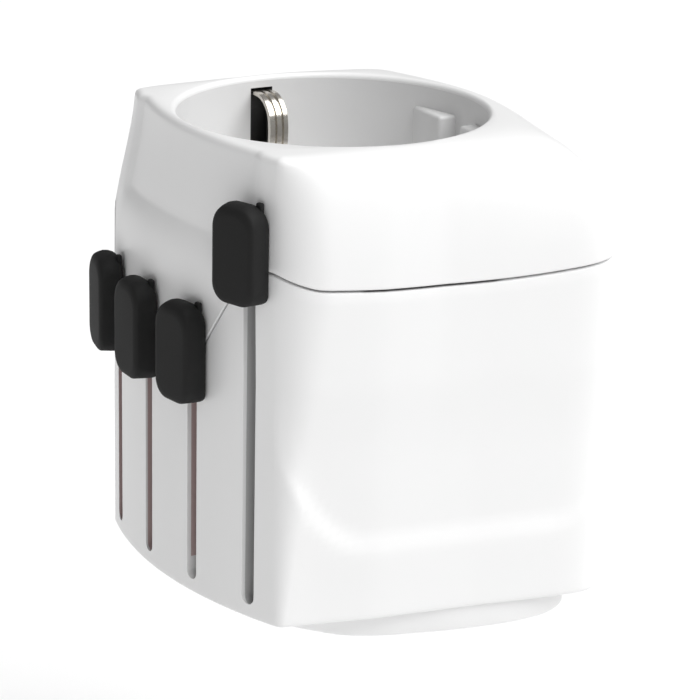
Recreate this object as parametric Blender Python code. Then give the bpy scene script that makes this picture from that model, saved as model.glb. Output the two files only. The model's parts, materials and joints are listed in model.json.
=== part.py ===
"""A universal travel adapter with a round plug recess on top and four slide-out pin sets.

Frame: +Z up, origin at the middle of the foot's underside, -Y is the face with the four sliders.
Sizes are in millimetres here and are scaled to metres when a mesh is made.
"""

import math

import bmesh
import bpy
from mathutils import Matrix, Vector

MM = 0.001
GAP = 0.3            # running gap between pieces

# Casing
BASE = 3.5           # the body's underside above the foot's underside
TOP = 64.0           # rim of the recess
SIDE_PARTING = 47.5  # parting line on the sides and the back
FACE_PARTING = 36.0  # parting line low on the slider face
PEAK_PARTING = 49.5  # parting line at the slider face's right corner
STEP_X = (7.2, 16.2) # the slider face's parting line climbs between these
BOW_Y = 5.0          # lowest point of the sides' parting line, and how far it rises from there
BOW_FRONT = 0.8
BOW_BACK = 1.35
BOW_DIP = 0.35
WALL = 2.0
FLOOR_TOP = BASE + 1.7
RECESS_R = 20.0
RECESS_WALL = 1.6
RECESS_FLOOR = 46.8
TUBE_FACE_DEPTH = 2.6  # the recess wall keeps this far behind the slider face
FRONT_Y = -23.3      # slider face at its middle
FRONT_R = 60.7       # radius of the slider face in plan
FACE_SHEAR = 0.075   # the slider face stands a few degrees round from the sides
BACK_Y = 26.5
SIDE_X = ((-19.6, 21.4), (-6.0, 23.9), (7.2, 25.8), (20.3, 28.0), (26.5, 28.6))
BELLY = 1.2          # how far the side panels swell at mid height
LEAN = 1.6           # how far the slider face leans back towards the rim
SCOOP = 0.7          # hollow in the top of the slider face
SCOOP_X = 16.6
SCOOP_Z = 51.0
RIB_X = (2.5, 9.6)   # guide ribs on the recess wall, two at the front and two at the back
RIB_FACE_Y = 17.35
RIB_ROOT_Y = (20.3, 18.4)  # root of a rib inside the wall, at its two ends
RIB_TOP = 60.5
RIDGE_X = 20.6       # straight sides of the top's ridge, ending in two horns
FACE_WALL = 1.2      # thinnest wall behind the leaning face

# Sliders
SLOTS = (-16.8, -5.1, 5.9, 16.45)
SLOT_W = 2.0
SLOT_BOTTOM = 5.4
KNOB_W = 7.0
KNOB_H = 13.0
KNOB_D = 3.5         # from the slider face to the knob's outer face
KNOB_LOW = 30.2      # underside of the three low knobs
KNOB_HIGH = 45.5     # underside of the high knob
STEM_W = 1.4
PIN_LENGTH = 25.0
LOW_CARRIER = 28.0   # underside of the parked carriers
HIGH_CARRIER = 41.0
CARRIER_H = 2.5

# Fasteners and contacts
SCREW_XY = (21.8, 19.5)
TOWER_R = 2.4
SCREW_R = 1.1
PLUG_PITCH = 19.0
CLIP_W = 2.8
FUSE_XY = (17.0, 13.2)

COLOURS = {
    "white_plastic": ((0.86, 0.86, 0.85), 0.3, 0.0),
    "black_plastic": ((0.03, 0.03, 0.035), 0.6, 0.0),
    "grey_plastic": ((0.35, 0.34, 0.34), 0.5, 0.0),
    "nickel": ((0.72, 0.69, 0.64), 0.25, 1.0),
    "brass": ((0.75, 0.56, 0.28), 0.3, 1.0),
    "steel": ((0.55, 0.55, 0.56), 0.35, 1.0),
    "ceramic": ((0.8, 0.76, 0.68), 0.5, 0.0),
}


def clear_scene():
    for item in list(bpy.data.objects):
        bpy.data.objects.remove(item)


def material(name, slot):
    colour, roughness, metallic = COLOURS[slot]
    made = bpy.data.materials.new(name + "_" + slot)
    made.use_nodes = True
    shader = made.node_tree.nodes["Principled BSDF"]
    shader.inputs["Base Color"].default_value = (*colour, 1.0)
    shader.inputs["Roughness"].default_value = roughness
    shader.inputs["Metallic"].default_value = metallic
    return made


def finish(name, work, slot, origin=(0, 0, 0), smooth=True, parent=None):
    """Makes the object of a mesh whose points are in millimetres around origin."""
    bmesh.ops.recalc_face_normals(work, faces=work.faces[:])
    mesh = bpy.data.meshes.new(name)
    work.to_mesh(mesh)
    work.free()
    mesh.transform(Matrix.Scale(MM, 4))
    if smooth:
        mesh.shade_smooth()
        mesh.set_sharp_from_angle(angle=math.radians(35))
    made = bpy.data.objects.new(name, mesh)
    bpy.context.scene.collection.objects.link(made)
    if slot:
        mesh.materials.append(material(name, slot))
    made.location = [c * MM for c in origin]
    made.parent = parent
    return made


def loft(rings):
    """A closed solid through rings of equally many points, with a flat cap at each end."""
    work = bmesh.new()
    rows = [[work.verts.new(p) for p in ring] for ring in rings]
    count = len(rows[0])
    for low, high in zip(rows, rows[1:]):
        for i in range(count):
            j = (i + 1) % count
            work.faces.new((low[i], low[j], high[j], high[i]))
    work.faces.new(rows[0][::-1])
    work.faces.new(rows[-1])
    return work


def box_mesh(low, high):
    (x0, y0, z0), (x1, y1, z1) = low, high
    rings = [[(x0, y0, z), (x1, y0, z), (x1, y1, z), (x0, y1, z)] for z in (z0, z1)]
    return loft(rings)


def turned(profile, segments=24, centre=(0, 0)):
    """A solid turned about a vertical axis, from (radius, height) pairs that end off the axis."""
    rings = []
    for radius, z in profile:
        turn = [2 * math.pi * i / segments for i in range(segments)]
        rings.append([(centre[0] + radius * math.cos(a), centre[1] + radius * math.sin(a), z) for a in turn])
    return loft(rings)


def extruded(outline, thickness, axis):
    """A closed outline of (a, b) pairs, extruded by thickness on both sides of the plane at 0 along axis."""
    order = {"x": lambda a, b, t: (t, a, b), "y": lambda a, b, t: (a, t, b)}[axis]
    return loft([[order(a, b, t) for a, b in outline] for t in (-thickness / 2, thickness / 2)])


def boolean(target, cutter, operation):
    step = target.modifiers.new(cutter.name, "BOOLEAN")
    step.operation = operation
    step.object = cutter
    cutter.hide_render = True
    cutter.display_type = "WIRE"


def cut(target, name, work):
    boolean(target, finish(name + "_guide", work, None, smooth=False), "DIFFERENCE")


def join(target, name, work):
    boolean(target, finish(name + "_guide", work, None, smooth=False), "UNION")


# ---------------------------------------------------------------- outer skin

def smooth(t):
    """A soft rise from 0 at t = 0 to 1 at t = 1."""
    t = max(0.0, min(1.0, t))
    return t * t * (3 - 2 * t)


def side_x(y):
    """Half width of the body's underside at y."""
    for (y0, x0), (y1, x1) in zip(SIDE_X, SIDE_X[1:]):
        if y <= y1:
            break
    return x0 + (x1 - x0) * (y - y0) / (y1 - y0)


def face_y(x):
    """The slider face in plan."""
    return FRONT_Y + x * x / (2 * FRONT_R)


def wall_y(x):
    """The slider face in plan at a slot, sheared as the casing is."""
    return face_y(x) + FACE_SHEAR * x


def sheared(ring):
    """A ring with its front brought round to the slider face's direction, less so at the top."""
    turned_ring = []
    for x, y, z in ring:
        share = max(0.0, min(1.0, (-6 - y) / 10)) * smooth((TOP - z) / 20)
        turned_ring.append((x, y + FACE_SHEAR * x * share, z))
    return turned_ring


def bend(a, control, b, t):
    """A point of the round corner from a to b."""
    return tuple((1 - t) ** 2 * p + 2 * t * (1 - t) * c + t * t * q for p, c, q in zip(a, control, b))


FACE_X = (0.0, 4.0, 7.2, 10.0, 13.0, SCOOP_X - 0.4, SCOOP_X + 0.7, 18.7, 20.3)
SIDE_STEPS = 6
CORNER_STEPS = 4
BACK_STEPS = 3


def half_outline(z, inset=0.0):
    """Right half of the plan outline at height z, from the middle of the slider face to that of the back."""
    rise = max(0.0, min(1.0, (z - BASE) / (SIDE_PARTING - BASE)))
    swell = BELLY * math.sin(rise * math.pi * 0.62)
    flare = 2.2 * rise ** 1.5

    def front(x):
        return face_y(x) + inset

    def side(y):
        return side_x(y) + swell * (1 - ((y - 3) / 32) ** 2) - inset + flare * max(0.0, (2 - y) / 22)

    corner_x, corner_y = 21.4 - inset, -19.6 + inset
    for _ in range(4):
        corner_x = side(corner_y)
        corner_y = front(corner_x)
    soft = max(0.6, 0.9 + 3.2 * rise - inset * 0.4)
    points = [(x, front(x)) for x in FACE_X if x < corner_x - 0.4]
    start = (corner_x - soft, front(corner_x - soft))
    start = start if start[0] > points[-1][0] else (points[-1][0] + 0.1, front(points[-1][0] + 0.1))
    end = (side(corner_y + soft), corner_y + soft)
    while len(points) < len(FACE_X):
        points.append(points[-1])
    points += [bend(start, (corner_x, corner_y), end, i / CORNER_STEPS) for i in range(CORNER_STEPS + 1)]
    back_r = 5.0 - inset * 0.8
    back_y = BACK_Y - inset
    last = back_y - back_r
    for i in range(1, SIDE_STEPS):
        y = end[1] + (last - end[1]) * i / SIDE_STEPS
        points.append((side(y), y))
    a, b = (side(last), last), (side(back_y) - back_r, back_y - 0.15)
    points += [bend(a, (side(back_y), back_y), b, i / CORNER_STEPS) for i in range(CORNER_STEPS + 1)]
    for i in range(1, BACK_STEPS + 1):
        left = 1 - i / BACK_STEPS
        points.append((b[0] * left, back_y - 0.15 * left))
    return points


def mirrored(half):
    """The whole outline from its right half, whose first and last points are on the plane x = 0."""
    return half + [(-x, y) for x, y in half[-2:0:-1]]


def ridge_half(inset=0.0):
    """The plan curve that the top's dome rises to: two horns beside the slider face, a round back."""
    points = []
    for x, y in half_outline(SIDE_PARTING, 0.0):
        angle = math.atan2(y, x)
        if x <= RIDGE_X - inset and y < -10:
            points.append((x, face_y(x) + inset))
        elif y < -4:
            points.append((RIDGE_X - inset, max(y, face_y(RIDGE_X)) + inset))
        else:
            points.append(((RIDGE_X - inset) * math.cos(angle), (RIDGE_X - inset) * math.sin(angle)))
    return points


def lean_back(x, y, z):
    """How far the slider face has leaned back, and been scooped, at a point of it."""
    lean = LEAN * smooth((z - 46) / 20) * max(0.0, min(1.0, (-6 - y) / 12))
    hollow = SCOOP * max(0.0, min(1.0, (z - SCOOP_Z) / 1.5)) if abs(x) < SCOOP_X and y < -15 else 0.0
    return lean + hollow


def dome_ring(z, inset=0.0):
    """The outline at height z above the sides' parting line, drawn in towards the ridge."""
    outer = half_outline(SIDE_PARTING, inset)
    inner = ridge_half(inset)
    top = TOP - inset
    u = max(0.0, min(1.0, (z - SIDE_PARTING) / (top - SIDE_PARTING)))
    spread = (1 - u ** 2.6) ** (1 / 2.2)
    ring = []
    for (ox, oy), (ix, iy) in zip(outer, inner):
        x, y = ix + (ox - ix) * spread, iy + (oy - iy) * spread
        lean = lean_back(x, y, z)
        ring.append((x, max(y, face_y(x) + FACE_WALL + lean) if inset else y + lean))
    return sheared([(x, y, z) for x, y in mirrored(ring)])


def parting_z(x, y):
    """Height of the parting line at a point: bowed on the sides, stepped on the slider face."""
    bow = (BOW_FRONT if y < BOW_Y else BOW_BACK) * ((y - BOW_Y) / 21) ** 2 - BOW_DIP
    side = SIDE_PARTING + bow
    if y > -16.5 or x < -20.8:
        return side
    if x > 17.3:
        return PEAK_PARTING - max(0.0, min(1.0, (x - 20.3) / 4)) * (PEAK_PARTING - side)
    if x > STEP_X[0]:
        share = min(1.0, (x - STEP_X[0]) / (STEP_X[1] - STEP_X[0]))
        return FACE_PARTING + (PEAK_PARTING - FACE_PARTING) * share
    return FACE_PARTING


def edge_ring(inset, offset):
    """The ring along the parting line, offset up or down by half of its gap."""
    ring = []
    reference = mirrored(half_outline(SIDE_PARTING))
    flat = mirrored(half_outline(SIDE_PARTING, inset))
    for (x, y), (rx, ry) in zip(flat, reference):
        z = parting_z(rx, ry) + offset
        ring.append((x, y, z))
    return sheared(ring)


def level(z, inset=0.0):
    """The casing's outline at height z."""
    return sheared([(x, y, z) for x, y in mirrored(half_outline(z, inset))])


FOOT = ((0, -15.5), (10.6, -15.5), (15.6, -12.2), (20.3, -8.2), (22.6, -3.5), (24.1, 2.5), (24.9, 5.4),
        (25.6, 10.4), (26.0, 14.2), (25.8, 18.0), (25.2, 21.0), (21.9, 24.7), (0, 24.9))
FOOT_Y = 2.0         # middle of the foot


def foot_ring(z, inset):
    """The foot's outline: straight at the front and the back, rounded at the sides."""
    ring = []
    for x, y in half_outline(BASE):
        angle = math.atan2(x, -(y - FOOT_Y))
        for (x0, y0), (x1, y1) in zip(FOOT, FOOT[1:]):
            if math.atan2(x0, FOOT_Y - y0) <= angle <= math.atan2(x1, FOOT_Y - y1) + 1e-9:
                break
        dx, dy = math.sin(angle), -math.cos(angle)
        ex, ey = x1 - x0, y1 - y0
        reach = (x0 * ey - (y0 - FOOT_Y) * ex) / (dx * ey - dy * ex)
        ring.append((dx * (reach - inset), FOOT_Y + dy * (reach - inset)))
    return [(x, y, z) for x, y in mirrored(ring)]


# ---------------------------------------------------------------- casing

def slot_cutter(x, low, high):
    work = box_mesh((x - SLOT_W / 2, -28, low), (x + SLOT_W / 2, -16.6, high))
    bottom = [e for e in work.edges if all(v.co.z < low + 0.1 for v in e.verts)]
    corners = [e for e in bottom if abs(e.verts[0].co.y - e.verts[1].co.y) > 1]
    bmesh.ops.bevel(work, geom=corners, offset=SLOT_W / 2 - 0.05, segments=3, affect="EDGES")
    return work


def slot_cuts(shell):
    for number, x in enumerate(SLOTS):
        high = KNOB_HIGH if number == 3 else KNOB_LOW
        cut(shell, f"{shell.name}_slot_{number}", slot_cutter(x, SLOT_BOTTOM, high + 9.8))


def make_lower_shell():
    rings = [foot_ring(0, 0.6), foot_ring(0.5, 0.2), foot_ring(BASE, 0.0)]
    rings += [level(BASE, 0.5), level(BASE + 0.5)] + [level(z) for z in (14, 24, 34)]
    rings += [edge_ring(0.0, -GAP / 2), edge_ring(WALL, -GAP / 2)]
    rings += [level(z, WALL) for z in (34, 20, FLOOR_TOP)]
    shell = finish("lower_shell", loft(rings), "white_plastic")
    for side in (-1, 1):
        centre = (side * SCREW_XY[0], SCREW_XY[1])
        tower = turned([(TOWER_R, FLOOR_TOP - 1), (TOWER_R, SIDE_PARTING - 1)], 20, centre)
        join(shell, f"tower_{side + 1}", tower)
        cut(shell, f"tower_bore_{side + 1}", turned([(SCREW_R + GAP, -1), (SCREW_R + GAP, TOP)], 16, centre))
        cut(shell, f"tower_sink_{side + 1}", turned([(2.5, -1), (2.5, 2.6)], 20, centre))
    slot_cuts(shell)
    for name, work in pin_apertures():
        cut(shell, name, work)
    return shell


def make_upper_shell():
    heights = [SIDE_PARTING + 2.6, 52.2, 55.0, 58.0, 60.5, 62.3, 63.5, TOP]
    rings = [edge_ring(0.0, GAP / 2)] + [dome_ring(z) for z in heights]
    inner_heights = [SIDE_PARTING + 2.6, 52.0, 56.0, 59.0, 61.0]
    inner = [edge_ring(WALL, GAP / 2)] + [dome_ring(z, WALL) for z in inner_heights]
    shell = finish("upper_shell", loft(inner[::-1] + rings), "white_plastic")
    tube = turned([(RECESS_R + RECESS_WALL, z) for z in (45.2, 61.5)], 48)
    for point in tube.verts:
        point.co.y = max(point.co.y, wall_y(point.co.x) + TUBE_FACE_DEPTH)
    join(shell, "recess_tube", tube)
    for side in (-1, 1):
        centre = (side * SCREW_XY[0], SCREW_XY[1])
        join(shell, f"boss_{side + 1}", turned([(TOWER_R, SIDE_PARTING), (TOWER_R, 60.5)], 20, centre))
        bore = turned([(SCREW_R + 0.05, 40), (SCREW_R + 0.05, 55.4)], 16, centre)
        cut(shell, f"boss_bore_{side + 1}", bore)
    bowl = [(RECESS_R, 40), (RECESS_R, TOP - 0.8), (RECESS_R + 0.3, TOP - 0.2), (RECESS_R + 0.8, TOP + 0.1)]
    cut(shell, "recess", turned(bowl + [(RECESS_R + 0.8, TOP + 4)], 64))
    for front in (-1, 1):
        for side in (-1, 1):
            plan = [(x, RIB_FACE_Y) for x in RIB_X] + list(zip(RIB_X, RIB_ROOT_Y))[::-1]
            rings = [[(side * x, front * y, z) for x, y in plan] for z in (45.2, RIB_TOP)]
            join(shell, f"guide_rib_{side + 1}{front + 1}", loft(rings))
    for side in (-1, 1):
        low, high = sorted((side * 18.5, side * 22.4))
        half = CLIP_W / 2 + 0.2
        cut(shell, f"clip_window_{side + 1}", box_mesh((low, -half, 50.0), (high, half, 62.4)))
    slot_cuts(shell)
    return shell


def make_socket_insert():
    """Floor of the recess: a flat disc with a raised plug seat and the apertures."""
    rim_r = RECESS_R - GAP
    profile = [(rim_r, 46.0), (rim_r, 46.4), (15.5, 46.4), (15.5, RECESS_FLOOR)]
    insert = finish("socket_insert", turned(profile, 48), "white_plastic")
    for side in (-1, 1):
        y = side * PLUG_PITCH / 2
        cut(insert, f"plug_hole_{side + 1}", turned([(2.7, 40), (2.7, 50)], 24, (0, y)))
        cut(insert, f"blade_hole_{side + 1}", box_mesh((-4.6, y - 1.1, 40), (4.6, y + 1.1, 50)))
        for rib in (-1, 1):
            low_x, high_x = sorted((rib * (RIB_X[0] - GAP), rib * (RIB_X[1] + GAP)))
            low_y, high_y = sorted((side * (RIB_FACE_Y - GAP), side * 22))
            cut(insert, f"rib_notch_{rib + 1}{side + 1}", box_mesh((low_x, low_y, 40), (high_x, high_y, 50)))
    cut(insert, "earth_hole", turned([(2.9, 40), (2.9, 50)], 24, (-9.0, 0)))
    return insert


def make_contact_block():
    """Insulating plate under the insert that the contacts hang from."""
    block = finish("contact_block", turned([(18.6, 43.9), (18.6, 44.8)], 40), "grey_plastic")
    for side in (-1, 1):
        y = side * PLUG_PITCH / 2
        cut(block, f"contact_hole_{side + 1}", box_mesh((-5, y - 3.4, 40), (5, y + 3.4, 50)))
    cut(block, "earth_contact_hole", box_mesh((-12.4, -3.4, 40), (-5.6, 3.4, 50)))
    join(block, "spring_stop", box_mesh((14.2, -2.2, 44.5), (15.4, 2.2, 45.7)))
    return block


def make_shutter():
    """Sliding plate that covers the live apertures until a plug pushes it aside."""
    work = box_mesh((-9.6, -13.2, 45.1), (3.5, 13.2, 45.7))
    shutter = finish("shutter", work, "grey_plastic")
    for side in (-1, 1):
        y = side * PLUG_PITCH / 2
        cut(shutter, f"shutter_hole_{side + 1}", turned([(2.8, 40), (2.8, 50)], 20, (-6.3, y)))
    cut(shutter, "shutter_earth_hole", box_mesh((-12.5, -3.1, 40), (-4.8, 3.1, 50)))
    return shutter


def make_shutter_spring():
    """Compression spring between the shutter and the stop on the contact block."""
    start, end, radius, wire, turns, steps = 3.8, 13.9, 0.2, 0.09, 9, 10
    work = bmesh.new()
    rows = []
    total = turns * steps
    for i in range(total + 1):
        angle = 2 * math.pi * i / steps
        x = start + wire + (end - start - 2 * wire) * i / total
        row = []
        for k in range(5):
            a = 2 * math.pi * k / 5
            reach = radius + wire * math.cos(a)
            row.append((x + wire * math.sin(a), reach * math.cos(angle), 45.4 + reach * math.sin(angle)))
        rows.append(row)
    work.free()
    return finish("shutter_spring", loft(rows), "steel")


# ---------------------------------------------------------------- contacts

def strip(path, thickness):
    """Outline of a bent strip of that thickness whose middle follows path."""
    left, right = [], []
    for i, (a, b) in enumerate(path):
        before = path[max(i - 1, 0)]
        after = path[min(i + 1, len(path) - 1)]
        first = math.atan2(b - before[1], a - before[0]) if i else None
        second = math.atan2(after[1] - b, after[0] - a) if i < len(path) - 1 else None
        first = second if first is None else first
        second = first if second is None else second
        turn = (second - first + math.pi) % (2 * math.pi) - math.pi
        angle = first + turn / 2 + math.pi / 2
        reach = thickness / 2 / math.cos(turn / 2)
        left.append((a + reach * math.cos(angle), b + reach * math.sin(angle)))
        right.append((a - reach * math.cos(angle), b - reach * math.sin(angle)))
    return left + right[::-1]


def make_earth_clip(name, side):
    """Bent earth spring that stands out of the recess wall through its window."""
    path = [(21.5, 61.85), (18.1, 61.85), (16.4, 61.2), (15.2, 59.9), (14.8, 58.0), (15.0, 55.6), (16.1, 53.4)]
    path += [(18.2, 51.7), (21.4, 50.7)]
    outline = strip([(side * x, z) for x, z in path], 0.55)
    return finish(name, extruded(outline, CLIP_W, "y"), "nickel")


def make_pole_contact(name, side, rail_y, width):
    """Pair of spring leaves under a plug aperture, and the rail that the pins wipe on."""
    y = PLUG_PITCH / 2
    path = [(y - 2.9, 31.6), (y - 2.5, 41), (y - 2.9, 43.3), (rail_y, 43.3), (rail_y, 8.0)]
    outline = strip([(side * a, z) for a, z in path], 0.5)
    contact = finish(name, extruded(outline, width, "x"), "brass")
    leaf = strip([(side * (y + 2.9), 31.6), (side * (y + 2.5), 41), (side * (y + 2.5), 43.3)], 0.5)
    join(contact, name + "_leaf", extruded(leaf, width, "x"))
    return contact


def make_earth_contact():
    """Pair of leaves under the earth aperture."""
    path = [(-11.6, 33.0), (-11.3, 40.5), (-11.9, 43.3), (-6.1, 43.3), (-6.7, 40.5), (-6.4, 33.0)]
    return finish("earth_contact", extruded(strip(path, 0.5), 4.0, "y"), "brass")


def make_fuse():
    """Cartridge fuse, its end caps and the two cups that hold it."""
    low, high, radius = 12.0, 32.0, 2.6
    tube = [(radius - 0.35, low + 5.3), (radius - 0.35, high - 5.3)]
    finish("fuse_tube", turned(tube, 20, FUSE_XY), "ceramic")
    for name, bottom, clip_z in (("lower", low, low - 1.1), ("upper", high - 5, high + 0.3)):
        finish(f"fuse_cap_{name}", turned([(radius, bottom), (radius, bottom + 5)], 20, FUSE_XY), "nickel")
        x, y = FUSE_XY
        clip = box_mesh((x - 3.4, y - 2, clip_z), (x + 3.4, y + 2, clip_z + 0.8))
        finish(f"fuse_clip_{name}", clip, "brass")


def make_screw(name, side):
    centre = (side * SCREW_XY[0], SCREW_XY[1])
    profile = [(1.9, 0.6), (2.1, 0.9), (2.1, 2.2), (SCREW_R, 2.3), (SCREW_R, 54.0), (0.5, 55.0)]
    screw = finish(name, turned(profile, 20, centre), "steel")
    x, y = centre
    cut(screw, name + "_drive_a", box_mesh((x - 1.3, y - 0.25, 0), (x + 1.3, y + 0.25, 1.5)))
    cut(screw, name + "_drive_b", box_mesh((x - 0.25, y - 1.3, 0), (x + 0.25, y + 1.3, 1.5)))
    return screw


# ---------------------------------------------------------------- sliders

def bar(name, boxes, parent, origin):
    """A carrier made of overlapping boxes, given as pairs of corners."""
    moved = [[[c - o for c, o in zip(corner, origin)] for corner in pair] for pair in boxes]
    carrier = finish(name, box_mesh(*moved[0]), "black_plastic", parent=parent)
    for i, pair in enumerate(moved[1:]):
        guide = finish(f"{name}_guide_{i}", box_mesh(*pair), None, smooth=False, parent=parent)
        boolean(carrier, guide, "UNION")
    return carrier


def make_knob(name, x, low, parent):
    """Finger cap, square to the wall: a rounded block with a sloping top, hollow where the stem enters."""
    wall = wall_y(x)
    turn = Matrix.Rotation(math.atan(x / FRONT_R + FACE_SHEAR), 3, "Z")
    half = KNOB_W / 2
    rings = []
    for depth, grow, drop in ((0.0, -0.15, 0.0), (0.4, 0.0, 0.4), (0.8, 0.0, 1.0), (1.0, -0.7, 1.3)):
        width = half + grow
        bottom, top = low - grow, low + KNOB_H + grow - drop
        ring = []
        for sx, sz, start, soft in ((1, 1, 0, 2.4), (-1, 1, 90, 2.4), (-1, -1, 180, 1.5), (1, -1, 270, 1.5)):
            cx, cz = sx * (width - soft), (top - soft if sz > 0 else bottom + soft)
            for i in range(4):
                a = math.radians(start + i * 30)
                px, pz = cx + soft * math.cos(a), cz + soft * math.sin(a)
                back = px * px / (2 * FRONT_R) - GAP
                ring.append(turn @ Vector((px, back + (-KNOB_D - back) * depth, pz - low)))
        rings.append(ring)
    knob = finish(name, loft(rings), "black_plastic", origin=(0, wall, 0), parent=parent)
    socket = box_mesh((-STEM_W / 2 - GAP, -KNOB_D + 1.2, 3.6 - GAP), (STEM_W / 2 + GAP, 3, 9.4 + GAP))
    guide = finish(name + "_socket", socket, None, origin=(0, wall, 0), smooth=False, parent=parent)
    boolean(knob, guide, "DIFFERENCE")
    return knob


def slider_parent(name, x, low):
    """The empty that a slider's pieces hang on, at its slot."""
    empty = bpy.data.objects.new(name, None)
    bpy.context.scene.collection.objects.link(empty)
    empty.location = (x * MM, 0, low * MM)
    return empty


def stem_boxes(x, low, carrier_z):
    """The web behind the wall and the stem that reaches through the slot into the knob."""
    wall = wall_y(x)
    stem_low, stem_high = low + 3.6, low + 9.4
    web_y = wall + WALL + 1.0
    web = [(x - 0.8, web_y, carrier_z), (x + 0.8, web_y + 1.6, stem_high)]
    stem = [(x - STEM_W / 2, wall - KNOB_D + 1.5, stem_low), (x + STEM_W / 2, web_y + 1.0, stem_high - 0.1)]
    return [web, stem]


def blade(name, origin, centre, size, turn, carrier_z, parent, kind="nickel"):
    """A flat pin below its carrier, with a tapered tip; size is (x, y) before turning about Z."""
    (cx, cy), (sx, sy) = centre, size
    rings = []
    for z, shrink in ((-PIN_LENGTH, 0.55), (-PIN_LENGTH + 1.0, 0.0), (-GAP, 0.0)):
        ring = []
        for px, py in ((-1, -1), (1, -1), (1, 1), (-1, 1)):
            a, b = px * (sx / 2 - shrink), py * (sy / 2 - shrink)
            ring.append((cx - origin[0] + a * math.cos(turn) - b * math.sin(turn),
                         cy - origin[1] + a * math.sin(turn) + b * math.cos(turn), carrier_z - origin[2] + z))
        rings.append(ring)
    return finish(name, loft(rings), kind, parent=parent)


def round_pin(name, origin, centre, radius, carrier_z, parent):
    """A round pin with a domed tip."""
    z = carrier_z - origin[2]
    tip = z - PIN_LENGTH
    profile = [(radius * 0.35, tip), (radius * 0.8, tip + 0.5), (radius, tip + 1.8), (radius, z - GAP)]
    work = turned(profile, 20, (centre[0] - origin[0], centre[1] - origin[1]))
    return finish(name, work, "nickel", parent=parent)


EURO_PINS = ((-16.0, -5.6), (-16.0, 13.4))
EURO_R = 2.4
US_BLADES = ((-10.0, -7.35), (-10.0, 5.35))
US_SIZE = (6.35, 1.5)
UK_PINS = ((-15.1, 18.0), (7.1, 18.0))
UK_SIZE = (6.35, 4.0)
UK_EARTH = (-4.0, -4.2)
UK_EARTH_SIZE = (4.0, 8.0)
AU_BLADES = ((14.5, -6.2, 1), (14.5, 7.5, -1))
AU_SIZE = (6.3, 1.6)
AU_TURN = math.radians(30)
AU_EARTH = (4.4, 0.65)
AU_EARTH_SIZE = (6.3, 1.6)


def pin_apertures():
    """Cutters for the holes in the foot and the floor that the pins slide through."""
    play = 0.35
    low, high = -1, FLOOR_TOP + 1
    for i, (x, y) in enumerate(EURO_PINS):
        yield f"euro_aperture_{i}", turned([(EURO_R + play, low), (EURO_R + play, high)], 20, (x, y))
    flat = [(f"us_aperture_{i}", c, US_SIZE) for i, c in enumerate(US_BLADES)]
    flat += [(f"uk_aperture_{i}", c, UK_SIZE) for i, c in enumerate(UK_PINS)]
    flat += [("uk_earth_aperture", UK_EARTH, UK_EARTH_SIZE), ("au_earth_aperture", AU_EARTH, AU_EARTH_SIZE)]
    for name, (x, y), (sx, sy) in flat:
        half_x, half_y = sx / 2 + play, sy / 2 + play
        yield name, box_mesh((x - half_x, y - half_y, low), (x + half_x, y + half_y, high))
    half_x, half_y = AU_SIZE[0] / 2 + play, AU_SIZE[1] / 2 + play
    for i, (x, y, lean) in enumerate(AU_BLADES):
        work = box_mesh((-half_x, -half_y, low), (half_x, half_y, high))
        bmesh.ops.rotate(work, verts=work.verts[:], matrix=Matrix.Rotation(lean * AU_TURN, 3, "Z"))
        bmesh.ops.translate(work, verts=work.verts[:], vec=(x, y, 0))
        yield f"au_aperture_{i}", work


def make_euro_slider():
    x, low = SLOTS[0], KNOB_LOW
    origin = (x, 0, low)
    z0, z1 = LOW_CARRIER, LOW_CARRIER + CARRIER_H
    parent = slider_parent("euro_slider", x, low)
    boxes = [[(x - 0.7, wall_y(x) + WALL + 0.6, z0), (x + 2.3, EURO_PINS[1][1] + 2.0, z1)]]
    boxes += [[(px - 2.2, py - 2.2, z0 + 0.01), (px + 2.2, py + 2.2, z1 - 0.01)] for px, py in EURO_PINS]
    bar("euro_carrier", boxes + stem_boxes(x, low, z0), parent, origin)
    for i, centre in enumerate(EURO_PINS):
        round_pin(f"euro_pin_{i + 1}", origin, centre, EURO_R, z0, parent)
    make_knob("euro_knob", x, low, parent)


def make_us_slider():
    x, low = SLOTS[1], KNOB_LOW
    origin = (x, 0, low)
    z0, z1 = LOW_CARRIER, LOW_CARRIER + CARRIER_H
    parent = slider_parent("us_slider", x, low)
    arm_x = US_BLADES[0][0]
    boxes = [[(arm_x - 1.5, -19.6, z0), (arm_x + 1.5, US_BLADES[1][1] + 1.2, z1)]]
    boxes += [[(arm_x - 1.2, -19.6, z0 + 0.01), (x + 1.0, -18.0, z1 - 0.01)]]
    boxes += [[(px - 3.3, py - 1.2, z0 + 0.02), (px + 3.3, py + 1.2, z1 - 0.02)] for px, py in US_BLADES]
    bar("us_carrier", boxes + stem_boxes(x, low, z0), parent, origin)
    for i, centre in enumerate(US_BLADES):
        blade(f"us_blade_{i + 1}", origin, centre, US_SIZE, 0.0, z0, parent)
    make_knob("us_knob", x, low, parent)


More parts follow.
